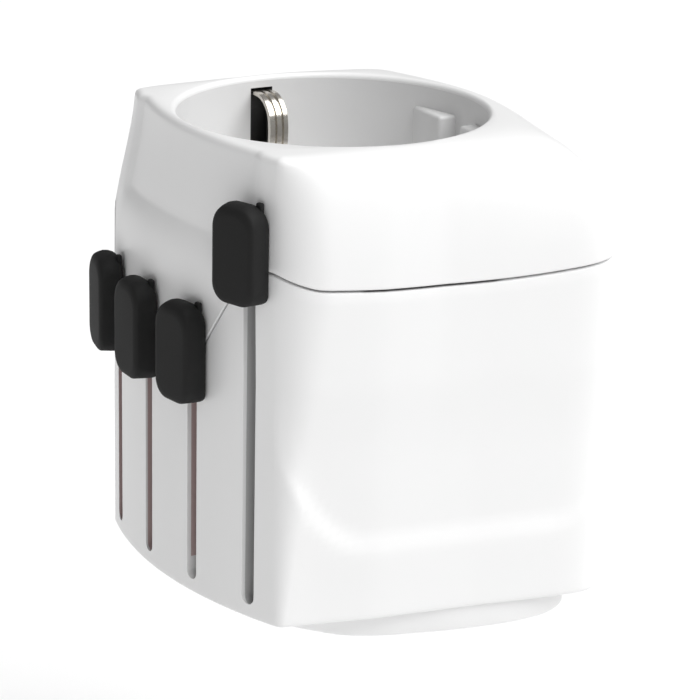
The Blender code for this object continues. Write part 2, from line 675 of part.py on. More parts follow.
def make_uk_slider():
    x, low = SLOTS[2], KNOB_LOW
    origin = (x, 0, low)
    z0, z1 = LOW_CARRIER, LOW_CARRIER + CARRIER_H
    parent = slider_parent("uk_slider", x, low)
    y = UK_PINS[0][1]
    boxes = [[(UK_PINS[0][0] - 3.3, y - 2.0, z0), (UK_PINS[1][0] + 3.3, y + 2.0, z1)]]
    boxes += [[(UK_EARTH[0] - 1.5, -16.0, z0 + 0.01), (UK_EARTH[0] + 1.5, y, z1 - 0.01)]]
    boxes += [[(UK_EARTH[0] - 1.4, -16.0, z0 + 0.02), (x + 1.0, -13.4, z1 - 0.02)]]
    boxes += [[(x - 0.95, wall_y(x) + WALL + 0.5, z0 + 0.03), (x + 0.95, -13.6, z1 - 0.03)]]
    boxes += [[(UK_EARTH[0] - 2, UK_EARTH[1] - 4, z0 + 0.04), (UK_EARTH[0] + 2, UK_EARTH[1] + 4, z1 - 0.04)]]
    bar("uk_carrier", boxes + stem_boxes(x, low, z0), parent, origin)
    for i, centre in enumerate(UK_PINS):
        blade(f"uk_pin_{i + 1}", origin, centre, UK_SIZE, 0.0, z0, parent)
    blade("uk_earth_pin", origin, UK_EARTH, UK_EARTH_SIZE, 0.0, z0, parent)
    make_knob("uk_knob", x, low, parent)


def make_au_slider():
    x, low = SLOTS[3], KNOB_HIGH
    origin = (x, 0, low)
    z0, z1 = HIGH_CARRIER, HIGH_CARRIER + CARRIER_H
    parent = slider_parent("au_slider", x, low)
    boxes = [[(x - 1.9, wall_y(x) + WALL + 0.6, z0), (x + 0.7, AU_BLADES[1][1] + 2.2, z1)]]
    boxes += [[(bx - 3.0, by - 2.4, z0 + 0.01), (bx + 3.0, by + 2.4, z1 - 0.01)] for bx, by, _ in AU_BLADES]
    boxes += [[(AU_EARTH[0] - 3.15, AU_EARTH[1] - 1, z0 + 0.02), (x, AU_EARTH[1] + 1, z1 - 0.02)]]
    bar("au_carrier", boxes + stem_boxes(x, low, z0), parent, origin)
    for i, (bx, by, lean) in enumerate(AU_BLADES):
        blade(f"au_blade_{i + 1}", origin, (bx, by), AU_SIZE, lean * AU_TURN, z0, parent)
    blade("au_earth_blade", origin, AU_EARTH, AU_EARTH_SIZE, 0.0, z0, parent)
    make_knob("au_knob", x, low, parent)


def main():
    clear_scene()
    make_lower_shell()
    make_upper_shell()
    make_socket_insert()
    make_contact_block()
    make_shutter()
    make_shutter_spring()
    make_earth_clip("earth_clip_left", -1)
    make_earth_clip("earth_clip_right", 1)
    make_pole_contact("line_contact", 1, 21.6, 4.0)
    make_pole_contact("neutral_contact", -1, 20.2, 3.0)
    make_earth_contact()
    make_fuse()
    make_screw("screw_left", -1)
    make_screw("screw_right", 1)
    make_euro_slider()
    make_us_slider()
    make_uk_slider()
    make_au_slider()
    bpy.context.view_layer.update()


main()
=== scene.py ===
"""Looks of the universal travel adapter: fine shells, knobs and clips, materials, light and camera."""
import json
import math

import bmesh
import bpy
from mathutils import Matrix, Vector


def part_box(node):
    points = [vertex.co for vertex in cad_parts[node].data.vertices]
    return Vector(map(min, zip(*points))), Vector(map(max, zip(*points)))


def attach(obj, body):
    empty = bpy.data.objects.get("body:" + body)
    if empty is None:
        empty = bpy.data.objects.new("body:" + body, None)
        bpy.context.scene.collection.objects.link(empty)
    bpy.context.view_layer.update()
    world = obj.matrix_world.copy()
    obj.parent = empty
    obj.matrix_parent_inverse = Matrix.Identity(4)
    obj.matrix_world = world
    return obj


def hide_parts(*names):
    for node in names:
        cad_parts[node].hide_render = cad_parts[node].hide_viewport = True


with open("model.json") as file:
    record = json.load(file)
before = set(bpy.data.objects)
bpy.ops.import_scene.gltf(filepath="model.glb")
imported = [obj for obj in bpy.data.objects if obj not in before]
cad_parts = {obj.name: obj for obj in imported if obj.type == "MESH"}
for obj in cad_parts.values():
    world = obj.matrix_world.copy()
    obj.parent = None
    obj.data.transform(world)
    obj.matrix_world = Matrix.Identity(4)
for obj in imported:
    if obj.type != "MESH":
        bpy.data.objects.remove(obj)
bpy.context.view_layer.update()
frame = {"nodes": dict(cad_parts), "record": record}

MM = 0.001


def box_mm(node):
    """A node's lowest and highest corners in millimetres."""
    low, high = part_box(node)
    return low / MM, high / MM


# ---------------------------------------------------------------- sizes, in millimetres

# Casing
GAP = 0.3
BASE = 3.5                   # lower edge of the casing's walls, above the foot
TOP = box_mm("upper_shell")[1].z
BACK_Y = box_mm("lower_shell")[1].y
WALL = 2.0
FLOOR_TOP = BASE + 1.7
BOTTOM_EDGE = 0.5            # round of the walls' lower edge
EDGE_R = 1.1                 # round of the top's outer edge

# Plan outline
FRONT_Y = -23.3              # middle of the slider face
FRONT_R = 60.7               # its radius in plan
FACE_SHEAR = 0.075           # how far it is brought round, per millimetre sideways
SHEAR_FADE_Z = 20.0          # depth below the top over which that fades away
SIDE_X = ((-19.6, 21.4), (-6.0, 23.9), (7.2, 25.8), (20.3, 28.0), (26.5, 28.6))  # y and half width
BELLY = 1.2                  # how far the sides swell out
BELLY_TURN = 0.62 * math.pi
FLARE = 2.2                  # how far the front corners open towards the parting line
CORNER_SOFT = (0.9, 3.2)     # softness of the front corners at the base, and what the parting line adds
BACK_CORNER = 5.0
FACE_END = 20.3
FACE_STEPS = 26
CORNER_STEPS = 10
SIDE_STEPS = 30
BACK_STEPS = 12

# Slider face
LEAN = 1.6                   # how far it leans back at its top
LEAN_Z = (46.0, 66.0)
SCOOP = 0.7                  # depth, half width and lower edge of its hollow upper part
SCOOP_X = 16.6
SCOOP_Z = 51.0
RIDGE_X = 20.6               # half width of the flat top
FACE_WALL = 1.2

# Side panels
PANEL_DIP = 0.75             # depth of the hollow
PANEL_FRONT_Y = (-22.5, -17.5)
PANEL_BACK_Y = (23.6, 26.2)
PANEL_LOW_Z = 13.2
PANEL_FADE_Z = (24.0, 42.0)

# Parting line
SIDE_PARTING = 47.5
FACE_PARTING = 36.0
PEAK_PARTING = 49.5
STEP_X = (7.2, 16.2)         # the slider face's parting line climbs between these
BOW_Y = 5.0                  # lowest point of the sides' parting line, and how far it rises from there
BOW_FRONT = 0.8
BOW_BACK = 1.35
BOW_DIP = 0.35

# Foot
FOOT = ((0, -15.5), (10.6, -15.5), (15.6, -12.2), (20.3, -8.2), (22.6, -3.5), (24.1, 2.5), (24.9, 5.4),
        (25.6, 10.4), (26.0, 14.2), (25.8, 18.0), (25.2, 21.0), (21.9, 24.7), (0, 24.9))
FOOT_Y = 2.0                 # middle of the foot
FOOT_EDGE = ((0.0, 0.8), (0.08, 0.55), (0.25, 0.35), (0.6, 0.2), (2.6, 0.05), (BASE, 0.0))  # height and inset

# Recess
RECESS_R = 20.0
RECESS_WALL = 1.6
RIM_R = 0.7                  # round of the recess's mouth
TUBE_Z = (45.2, 61.5)
TUBE_FACE_DEPTH = 2.6        # how far the recess's wall stays behind the slider face
RIB_X = (2.5, 9.6)
RIB_FACE_Y = 17.35
RIB_ROOT_Y = (20.3, 18.4)
RIB_Z = (45.2, 60.5)
RIB_ROUND = 0.5
WINDOW_X = (18.5, 22.4)
WINDOW_Z = (50.0, 62.4)
WINDOW_PLAY = 0.2
POCKET_X = (20.1, 27.0)      # the hollow behind each window
POCKET_Y = 9.0
POCKET_Z = (45.0, 62.6)

# Slots
KNOBS = ("euro_knob", "us_knob", "uk_knob", "au_knob")
SLOTS = dict(zip(KNOBS, (-16.8, -5.1, 5.9, 16.45)))
SLOT_W = 2.0
SLOT_BOTTOM = 5.4
SLOT_RISE = 9.8              # how far a slot reaches up behind its knob
SLOT_Y = (-28.0, -16.4)
LINING_DEPTHS = dict(zip(KNOBS, (0.25, 0.3, 0.4, 0.15)))  # depth of each slot at which its lining begins
LINING_END = SLOT_BOTTOM + 2.7
LINING_BACK_Y = -15.0

# Apertures and screw sinks in the foot
PIN_PLAY = 0.35
CUT_Z = (-1.0, FLOOR_TOP + 1)
AU_SIZE = (6.3, 1.6)
AU_TURN = math.radians(30)
SINK = ((2.75, -1), (2.75, 0.02), (2.5, 0.3), (2.5, 2.6), (1.4, 2.61), (1.4, CUT_Z[1]))

# Knobs
KNOB_W = 7.0
KNOB_D = 3.5                 # from the slider face to the knob's outer face
KNOB_HEIGHTS = dict(zip(KNOBS, (12.5, 12.5, 12.4, 12.1)))  # at the wall
KNOB_BEVEL = (0.85, 0.6)
KNOB_SLOPE = 0.3             # how far the top falls from the wall to the outer face
KNOB_CREST = 0.6             # how far the top arches up between the wall and the outer face
TOP_ROUND = 2.6
BOTTOM_ROUND = (1.2, 2.4)    # at the wall and at the outer face
NUB = (1.0, 0.6, 0.6)        # width and depth of the stem's tip above a knob, and how far it stands proud
NUB_X = 2.0                  # how far the tip stands beside the slot's middle
NUB_ROOT = 4.0
NUB_ROUND = 0.25

# Earth clips
CLIP_PATH = ((21.2, 61.85), (19.5, 61.85), (17.9, 61.8), (16.5, 61.2), (15.3, 59.9), (14.9, 58.0), (15.1, 55.6),
             (16.2, 53.4), (18.2, 51.8), (21.2, 50.8))
CLIP_T = 0.5
CLIP_ROUND = 0.08
GROOVES = (-0.5, 0.5)
GROOVE_HALF = 0.22
GROOVE_DEPTH = 0.3


# ---------------------------------------------------------------- mesh helpers

def smooth_step(a, b, value):
    """0 below a, 1 above b, with a soft rise between."""
    t = max(0.0, min(1.0, (value - a) / (b - a)))
    return t * t * (3 - 2 * t)


def loft_mesh(rings):
    """A closed solid through rings of equal count."""
    work = bmesh.new()
    rows = [[work.verts.new(p) for p in ring] for ring in rings]
    count = len(rows[0])
    for low, high in zip(rows, rows[1:]):
        for i in range(count):
            j = (i + 1) % count
            work.faces.new((low[i], low[j], high[j], high[i]))
    work.faces.new(rows[0][::-1])
    work.faces.new(rows[-1])
    bmesh.ops.recalc_face_normals(work, faces=work.faces[:])
    return work


def new_object(name, work, sharp=35.0):
    """An object of a mesh in millimetres, smooth but for edges over the angle sharp."""
    mesh = bpy.data.meshes.new(name)
    work.to_mesh(mesh)
    work.free()
    mesh.transform(Matrix.Scale(MM, 4))
    mesh.shade_smooth()
    mesh.set_sharp_from_angle(angle=math.radians(sharp))
    made = bpy.data.objects.new(name, mesh)
    bpy.context.scene.collection.objects.link(made)
    return made


def block(low, high):
    """A box between two corners."""
    (x0, y0, z0), (x1, y1, z1) = low, high
    return loft_mesh([[(x0, y0, z), (x1, y0, z), (x1, y1, z), (x0, y1, z)] for z in (z0, z1)])


def turned(profile, segments=96, centre=(0, 0)):
    """A solid of revolution; profile is a list of radius and height."""
    rings = []
    for radius, z in profile:
        turn = [2 * math.pi * i / segments for i in range(segments)]
        rings.append([(centre[0] + radius * math.cos(a), centre[1] + radius * math.sin(a), z) for a in turn])
    return loft_mesh(rings)


def combine(target, works, operation):
    """Applies exact booleans of separate solids to target, one after the other."""
    for work in works:
        tool = new_object("tool", work)
        step = target.modifiers.new("cut", "BOOLEAN")
        step.operation = operation
        step.object = tool
        step.solver = "EXACT"
        apply_modifiers(target)
        bpy.data.objects.remove(tool)


def apply_modifiers(target):
    """Bakes the modifiers into the mesh."""
    bpy.context.view_layer.update()
    evaluated = target.evaluated_get(bpy.context.evaluated_depsgraph_get())
    mesh = bpy.data.meshes.new_from_object(evaluated)
    target.modifiers.clear()
    target.data = mesh


# ---------------------------------------------------------------- outer skin

def side_x(y):
    """Half width of the plan at y, before it swells."""
    for (y0, x0), (y1, x1) in zip(SIDE_X, SIDE_X[1:]):
        if y <= y1:
            break
    t = (y - y0) / (y1 - y0)
    return x0 + (x1 - x0) * t


def face_y(x):
    """The slider face in plan."""
    return FRONT_Y + x * x / (2 * FRONT_R)


def wall_y(x):
    """The slider face in plan, brought round as the casing is."""
    return face_y(x) + FACE_SHEAR * x


def sheared(ring):
    """A ring with its front brought round to the slider face's direction, less so at the top."""
    turned_ring = []
    for x, y, z in ring:
        share = max(0.0, min(1.0, (-6 - y) / 10)) * smooth_step(0, SHEAR_FADE_Z, TOP - z)
        turned_ring.append((x, y + FACE_SHEAR * x * share, z))
    return turned_ring


def bend(a, control, b, t):
    """A point of the quadratic curve from a to b."""
    return tuple((1 - t) ** 2 * p + 2 * t * (1 - t) * c + t * t * q for p, c, q in zip(a, control, b))


def half_outline(z, inset=0.0):
    """Right half of the plan outline at height z, from the middle of the slider face to that of the back."""
    rise = max(0.0, min(1.0, (z - BASE) / (SIDE_PARTING - BASE)))
    swell = BELLY * math.sin(rise * BELLY_TURN)
    flare = FLARE * rise ** 1.5

    def side(y):
        """Half width at y."""
        return side_x(y) + swell * (1 - ((y - 3) / 32) ** 2) - inset + flare * max(0.0, (2 - y) / 22)

    corner_y, corner_x = SIDE_X[0][0] + inset, SIDE_X[0][1] - inset
    for _ in range(4):
        corner_x = side(corner_y)
        corner_y = face_y(corner_x) + inset
    soft = max(0.6, CORNER_SOFT[0] + CORNER_SOFT[1] * rise - inset * 0.4)
    face_end = min(FACE_END, corner_x - soft - 0.1)
    across = [face_end * i / FACE_STEPS for i in range(FACE_STEPS + 1)]
    points = [(x, face_y(x) + inset) for x in across]
    start = (corner_x - soft, face_y(corner_x - soft) + inset)
    end = (side(corner_y + soft), corner_y + soft)
    corner = (corner_x, corner_y)
    points += [bend(start, corner, end, i / CORNER_STEPS) for i in range(CORNER_STEPS + 1)]
    back_r = BACK_CORNER - inset * 0.8
    back_y = BACK_Y - inset
    last = back_y - back_r
    for i in range(1, SIDE_STEPS):
        y = end[1] + (last - end[1]) * i / SIDE_STEPS
        points.append((side(y), y))
    a, b = (side(last), last), (side(back_y) - back_r, back_y - 0.15)
    corner = (side(back_y), back_y)
    points += [bend(a, corner, b, i / CORNER_STEPS) for i in range(CORNER_STEPS + 1)]
    for i in range(1, BACK_STEPS + 1):
        t = i / BACK_STEPS
        points.append((b[0] * (1 - t), back_y - 0.15 * (1 - t)))
    return points


def mirrored(half):
    """The whole outline of a right half."""
    return half + [(-x, y) for x, y in half[-2:0:-1]]


def panel_dip(x, y, z):
    """Depth of the side panel's hollow at a point of the skin."""
    across = smooth_step(*PANEL_FRONT_Y, y - 0.22 * max(0.0, 30 - z))
    across *= 1 - smooth_step(*PANEL_BACK_Y, y)
    corner = max(0.0, (-7.0 - y) / 12.0)
    floor_z = PANEL_LOW_Z + 10 * corner ** 2.2 + 2.5 * smooth_step(17, 25, y) ** 2
    up = smooth_step(floor_z - 0.6, floor_z + 2.2, z)
    fade = 1 - smooth_step(*PANEL_FADE_Z, z)
    return PANEL_DIP * across * up * fade * smooth_step(20, 22, abs(x))


def level(z, inset=0.0, dip=True):
    """The lower casing's outline at height z."""
    ring = []
    for x, y in mirrored(half_outline(z, inset)):
        if dip and y > -21:
            x -= math.copysign(panel_dip(x, y, z), x)
        ring.append((x, y, z))
    return sheared(ring)


def ridge_half(inset=0.0):
    """The plan curve that the dome rises to: two horns beside the slider face, a round back."""
    points = []
    for x, y in half_outline(SIDE_PARTING):
        angle = math.atan2(y, x)
        if x <= RIDGE_X - inset and y < -10:
            points.append((x, face_y(x) + inset))
        elif y < -4:
            points.append((RIDGE_X - inset, max(y, face_y(RIDGE_X)) + inset))
        else:
            points.append(((RIDGE_X - inset) * math.cos(angle), (RIDGE_X - inset) * math.sin(angle)))
    return points


def lean_back(x, y, z):
    """How far the slider face has leaned back and been scooped at a point of it."""
    share = 1 - smooth_step(-18.5, -6.0, y)
    lean = LEAN * smooth_step(*LEAN_Z, z) * share
    up = smooth_step(SCOOP_Z - 0.6, SCOOP_Z + 1.0, z)
    across = 1 - smooth_step(SCOOP_X - 0.8, SCOOP_X + 0.9, abs(x))
    return lean + (SCOOP * up * across if y < -15 else 0.0)


def dome_ring(z, inset=0.0, edge=0.0):
    """The upper casing's outline at height z, as it closes in from the sides to the ridge."""
    outer = half_outline(SIDE_PARTING, inset)
    inner = ridge_half(inset + edge)
    u = max(0.0, min(1.0, (z - SIDE_PARTING) / (TOP - inset - SIDE_PARTING)))
    spread = (1 - u ** 2.6) ** (1 / 2.2)
    ring = []
    for (ox, oy), (ix, iy) in zip(outer, inner):
        x, y = ix + (ox - ix) * spread, iy + (oy - iy) * spread
        lean = lean_back(x, y, z)
        ring.append((x, max(y, face_y(x) + FACE_WALL + lean) if inset else y + lean))
    return sheared([(x, y, z) for x, y in mirrored(ring)])


def parting_z(x, y):
    """Height of the parting line at a point: bowed on the sides, stepped on the slider face."""
    bow = (BOW_FRONT if y < BOW_Y else BOW_BACK) * ((y - BOW_Y) / 21) ** 2 - BOW_DIP
    side = SIDE_PARTING + bow
    if y > -16.5 or x < -20.8:
        return side
    if x > 17.3:
        return PEAK_PARTING - max(0.0, min(1.0, (x - 20.3) / 4)) * (PEAK_PARTING - side)
    if x > STEP_X[0]:
        share = min(1.0, (x - STEP_X[0]) / (STEP_X[1] - STEP_X[0]))
        return FACE_PARTING + (PEAK_PARTING - FACE_PARTING) * share
    return FACE_PARTING


def edge_ring(inset, offset, grow=0.0):
    """A ring along the parting line, offset up from it."""
    reference = mirrored(half_outline(SIDE_PARTING))
    flat = mirrored(half_outline(SIDE_PARTING, inset + grow))
    return sheared([(x, y, parting_z(rx, ry) + offset) for (x, y), (rx, ry) in zip(flat, reference)])


def foot_reach(angle):
    """Distance from the foot's middle to its outline."""
    for (x0, y0), (x1, y1) in zip(FOOT, FOOT[1:]):
        if math.atan2(x0, FOOT_Y - y0) <= angle <= math.atan2(x1, FOOT_Y - y1) + 1e-9:
            break
    ex, ey = x1 - x0, y1 - y0
    return (x0 * ey - (y0 - FOOT_Y) * ex) / (math.sin(angle) * ey + math.cos(angle) * ex)


def foot_ring(z, inset):
    """The foot's outline with softened corners."""
    ring = []
    for x, y in half_outline(BASE):
        angle = math.atan2(x, FOOT_Y - y)
        near = [max(0.0, min(math.pi, angle + turn * 0.02)) for turn in range(-4, 5)]
        reach = sum(foot_reach(each) for each in near) / len(near) - inset
        ring.append((math.sin(angle) * reach, FOOT_Y - math.cos(angle) * reach))
    return [(x, y, z) for x, y in mirrored(ring)]


# ---------------------------------------------------------------- casing

def slot_top(node):
    """Height at which a knob's slot ends, behind the knob."""
    return box_mm(node)[0].z + SLOT_RISE


def slot_tools():
    """Cutters of the four slots, with round lower ends; each ends behind its knob."""
    tools = []
    half = SLOT_W / 2
    for node in KNOBS:
        x = SLOTS[node]
        high_z = slot_top(node)
        outline = [(x + half, high_z)]
        outline += [(x - half, z) for z in (high_z, LINING_END, SLOT_BOTTOM + half)]
        for i in range(1, 10):
            a = math.pi + math.pi * i / 10
            outline.append((x + half * math.cos(a), SLOT_BOTTOM + half + half * math.sin(a)))
        outline += [(x + half, SLOT_BOTTOM + half), (x + half, LINING_END)]
        depths = (SLOT_Y[0], wall_y(x) + LINING_DEPTHS[node], SLOT_Y[1])
        tools.append(loft_mesh([[(a, y, b) for a, b in outline] for y in depths]))
    return tools


def paint_recess_shade(piece):
    """Paints shade: the recess wall gets a darker grey plastic of its own as painted shade, and the hollow
    behind the earth clips' windows is painted black as painted shade.
    """
    for face in piece.data.polygons:
        centre = face.center / MM
        if math.hypot(centre.x, centre.y) < RECESS_R + 0.1 and centre.z < TOP - RIM_R:
            # painted shade: the recess wall is coloured darker than the white casing
            face.material_index = 4
        beside = POCKET_X[0] < abs(centre.x) < POCKET_X[1] and abs(centre.y) < POCKET_Y
        near = beside and POCKET_Z[0] < centre.z < POCKET_Z[1]
        if near and face.normal.x * math.copysign(1, centre.x) < 0.3:
            # painted shade: the inside of the white casing behind each window is painted black
            face.material_index = 3


def line_slots(piece):
    """Gives the deeper walls of the slots their lining: warm behind three knobs, grey behind the last."""
    for face in piece.data.polygons:
        centre = face.center / MM
        for node in KNOBS:
            x = SLOTS[node]
            deep = wall_y(x) + LINING_DEPTHS[node] < centre.y < LINING_BACK_Y and abs(face.normal.y) < 0.3
            inside = abs(centre.x - x) < SLOT_W / 2 + 0.02
            low_z = LINING_END if node == "uk_knob" else SLOT_BOTTOM
            if deep and inside and low_z < centre.z < slot_top(node) + 0.1:
                face.material_index = 2 if node == "au_knob" else 1


def make_lower():
    """The lower casing: foot, walls up to the parting line, and the hollow inside."""
    rings = [foot_ring(z, inset) for z, inset in FOOT_EDGE]
    for i in range(5):
        a = math.pi / 2 * i / 4
        rings.append(level(BASE + BOTTOM_EDGE * (1 - math.cos(a)), BOTTOM_EDGE * (1 - math.sin(a))))
    straight = FACE_PARTING - 1.2
    steps = 34
    start = BASE + BOTTOM_EDGE + 0.5
    rings += [level(start + (straight - start) * i / steps) for i in range(steps)]
    below, above = level(straight), edge_ring(0.0, -GAP / 2 - 0.25)
    for i in range(9):
        rings.append([tuple(p + (q - p) * i / 9 for p, q in zip(low, high)) for low, high in zip(below, above)])
    rings += [above, edge_ring(0.0, -GAP / 2 - 0.08, 0.07), edge_ring(0.0, -GAP / 2, 0.25)]
    rings.append(edge_ring(WALL, -GAP / 2))
    rings += [level(z, WALL, dip=False) for z in (34, 20, FLOOR_TOP)]
    return new_object("lower_casing", loft_mesh(rings))


def make_upper():
    """The upper casing: dome, hollow inside, and the recess with its wall."""
    bottom = edge_ring(0.0, GAP / 2 + 0.25)
    rings = [edge_ring(0.0, GAP / 2, 0.25), edge_ring(0.0, GAP / 2 + 0.08, 0.07), bottom]
    first = dome_ring(SIDE_PARTING + 1.3)
    steps = 12
    for i in range(1, steps):
        t = i / steps
        rings.append([(bx + (fx - bx) * t, by + (fy - by) * t, bz + (max(fz, bz + 0.4) - bz) * t)
                      for (bx, by, bz), (fx, fy, fz) in zip(bottom, first)])
    heights = [SIDE_PARTING + 1.3 + i * 0.75 for i in range(21)]
    peak = PEAK_PARTING + 0.8
    rings += [dome_ring(z) for z in heights if peak < z < TOP - EDGE_R]
    for i in range(7):
        a = math.pi / 2 * i / 6
        rings.append(dome_ring(TOP - EDGE_R * (1 - math.sin(a)), 0.0, EDGE_R * (1 - math.cos(a))))
    inner = [edge_ring(WALL, GAP / 2)]
    inner += [dome_ring(z, WALL) for z in (SIDE_PARTING + 2.6, 52.0, 56.0, 59.0, 61.0)]
    shell = new_object("upper_casing", loft_mesh(inner[::-1] + rings))
    tube = turned([(RECESS_R + RECESS_WALL, z) for z in TUBE_Z])
    for point in tube.verts:
        point.co.y = max(point.co.y, wall_y(point.co.x) + TUBE_FACE_DEPTH)
    combine(shell, [tube], "UNION")
    bowl = [(RECESS_R, 40)]
    for i in range(7):
        a = math.pi / 2 * i / 6
        bowl.append((RECESS_R + RIM_R * (1 - math.cos(a)), TOP - RIM_R + RIM_R * math.sin(a)))
    bowl[-1] = (RECESS_R + RIM_R, TOP + 0.02)
    combine(shell, [turned(bowl + [(RECESS_R + RIM_R, TOP + 4)], 128)], "DIFFERENCE")
    return shell


def pin_tools():
    """Cutters of the apertures in the foot, round each pin at rest, and of the two screw sinks."""
    low_z, high_z = CUT_Z
    tools = []
    for node in frame["nodes"]:
        kind = node.split("_")[0]
        if kind not in ("euro", "us", "uk", "au") or not ("pin" in node or "blade" in node):
            continue
        low, high = box_mm(node)
        x, y = (low.x + high.x) / 2, (low.y + high.y) / 2
        if kind == "euro":
            radius = (high.x - low.x) / 2 + PIN_PLAY
            mouth = radius + 0.35
            tools.append(turned([(mouth, low_z), (mouth, 0.02), (radius, 0.4), (radius, high_z)], 48, (x, y)))
        elif kind == "au" and "earth" not in node:
            half_x, half_y = AU_SIZE[0] / 2 + PIN_PLAY, AU_SIZE[1] / 2 + PIN_PLAY
            work = block((-half_x, -half_y, low_z), (half_x, half_y, high_z))
            lean = AU_TURN if y < 0 else -AU_TURN
            bmesh.ops.rotate(work, verts=work.verts[:], matrix=Matrix.Rotation(lean, 3, "Z"))
            bmesh.ops.translate(work, verts=work.verts[:], vec=(x, y, 0))
            tools.append(work)
        else:
            tools.append(block((low.x - PIN_PLAY, low.y - PIN_PLAY, low_z),
                               (high.x + PIN_PLAY, high.y + PIN_PLAY, high_z)))
    for node in ("screw_left", "screw_right"):
        low, high = box_mm(node)
        tools.append(turned(SINK, 40, ((low.x + high.x) / 2, (low.y + high.y) / 2)))
    return tools


def rib_tools():
    """The four guide ribs on the recess wall, with rounded edges."""
    tools = []
    plan = [(x, RIB_FACE_Y) for x in RIB_X] + list(zip(RIB_X, RIB_ROOT_Y))[::-1]
    for front in (-1, 1):
        for side in (-1, 1):
            work = loft_mesh([[(side * x, front * y, z) for x, y in plan] for z in RIB_Z])
            edges = [e for e in work.edges if all(abs(v.co.y) < RIB_FACE_Y + 0.1 for v in e.verts)
                     or all(v.co.z > RIB_Z[1] - 0.1 for v in e.verts)]
            bmesh.ops.bevel(work, geom=edges, offset=RIB_ROUND, segments=3, profile=0.5, affect="EDGES")
            tools.append(work)
    return tools


def window_tools():
    """The windows in the recess wall that the earth clips reach through."""
    tools = []
    for node in ("earth_clip_left", "earth_clip_right"):
        low, high = box_mm(node)
        side = math.copysign(1, low.x)
        near, far = sorted(side * x for x in WINDOW_X)
        tools.append(block((near, low.y - WINDOW_PLAY, WINDOW_Z[0]), (far, high.y + WINDOW_PLAY, WINDOW_Z[1])))
    return tools


lower = make_lower()
combine(lower, slot_tools() + pin_tools(), "DIFFERENCE")
upper = make_upper()
combine(upper, rib_tools(), "UNION")
combine(upper, window_tools() + slot_tools(), "DIFFERENCE")
paint_recess_shade(upper)
for piece, node in ((lower, "lower_shell"), (upper, "upper_shell")):
    line_slots(piece)
    piece.data.shade_smooth()
    piece.data.set_sharp_from_angle(angle=math.radians(32))
    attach(piece, "housing")
    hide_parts(node)


# ---------------------------------------------------------------- knobs

def knob_ring(height, inset, depth):
    """One rounded outline of a knob about its slot, depth 0 at the wall and 1 at the outer face."""
    half = KNOB_W / 2 - inset - 0.15 * (1 - min(1.0, depth / 0.4))
    bottom = inset
    top = height - inset - KNOB_SLOPE * depth + KNOB_CREST * 4 * depth * (1 - depth)
    ring = []
    low_round = BOTTOM_ROUND[0] + (BOTTOM_ROUND[1] - BOTTOM_ROUND[0]) * depth
    for side, up, start, soft in ((1, 1, 0, TOP_ROUND), (-1, 1, 90, TOP_ROUND), (-1, 0, 180, low_round),
                                  (1, 0, 270, low_round)):
        soft -= inset * 0.5
        cx, cz = side * (half - soft), (top - soft if up else bottom + soft)
        for i in range(11):
            a = math.radians(start + i * 9)
            px = cx + soft * math.cos(a)
            back = px * px / (2 * FRONT_R) - GAP
            ring.append((px, back + (-KNOB_D - back) * depth, cz + soft * math.sin(a)))
    return ring


def make_knob(node):
    """A finger knob with the tip of its carrier's stem, set square to the slider face at its slot."""
    low = box_mm(node)[0]
    x = SLOTS[node]
    height = KNOB_HEIGHTS[node]
    rings = [knob_ring(height, *place) for place in ((0.8, 0.0), (0.25, 0.0), (0.05, 0.03))]
    rings += [knob_ring(height, 0.0, depth) for depth in (0.12, 0.3, 0.5, 0.7)]
    for i in range(9):
        a = math.pi / 2 * i / 8
        depth = 1 - KNOB_BEVEL[1] / KNOB_D * (1 - math.sin(a))
        rings.append(knob_ring(height, KNOB_BEVEL[0] * (1 - math.cos(a)), depth))
    knob = new_object("cap_" + node.split("_")[0], loft_mesh(rings), 60)
    width, depth, proud = NUB
    nub = block((NUB_X - width / 2, -GAP - depth, height - NUB_ROOT),
                (NUB_X + width / 2, -GAP + 0.1, height + proud))
    edges = [e for e in nub.edges if any(v.co.z > height for v in e.verts)]
    bmesh.ops.bevel(nub, geom=edges, offset=NUB_ROUND, segments=3, profile=0.5, affect="EDGES")
    combine(knob, [nub], "UNION")
    turn = Matrix.Rotation(math.atan(x / FRONT_R + FACE_SHEAR), 4, "Z")
    knob.data.transform(Matrix.Translation(Vector((x, wall_y(x), low.z)) * MM) @ turn)
    knob.data.shade_smooth()
    knob.data.set_sharp_from_angle(angle=math.radians(50))
    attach(knob, node.split("_")[0] + "_slider")
    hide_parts(node)
    return knob


knobs = [make_knob(node) for node in KNOBS]


# ---------------------------------------------------------------- earth clips

def smooth_path(points, steps):
    """A Catmull-Rom curve through points."""
    ends = [points[0]] + list(points) + [points[-1]]
    path = []
    for i in range(1, len(ends) - 2):
        p0, p1, p2, p3 = (Vector(ends[i + k]) for k in (-1, 0, 1, 2))
        for k in range(steps):
            t = k / steps
            square, cube = 2 * p0 - 5 * p1 + 4 * p2 - p3, 3 * p1 - p0 - 3 * p2 + p3
            path.append(0.5 * (2 * p1 + (p2 - p0) * t + square * t * t + cube * t ** 3))
    path.append(Vector(points[-1]))
    return path


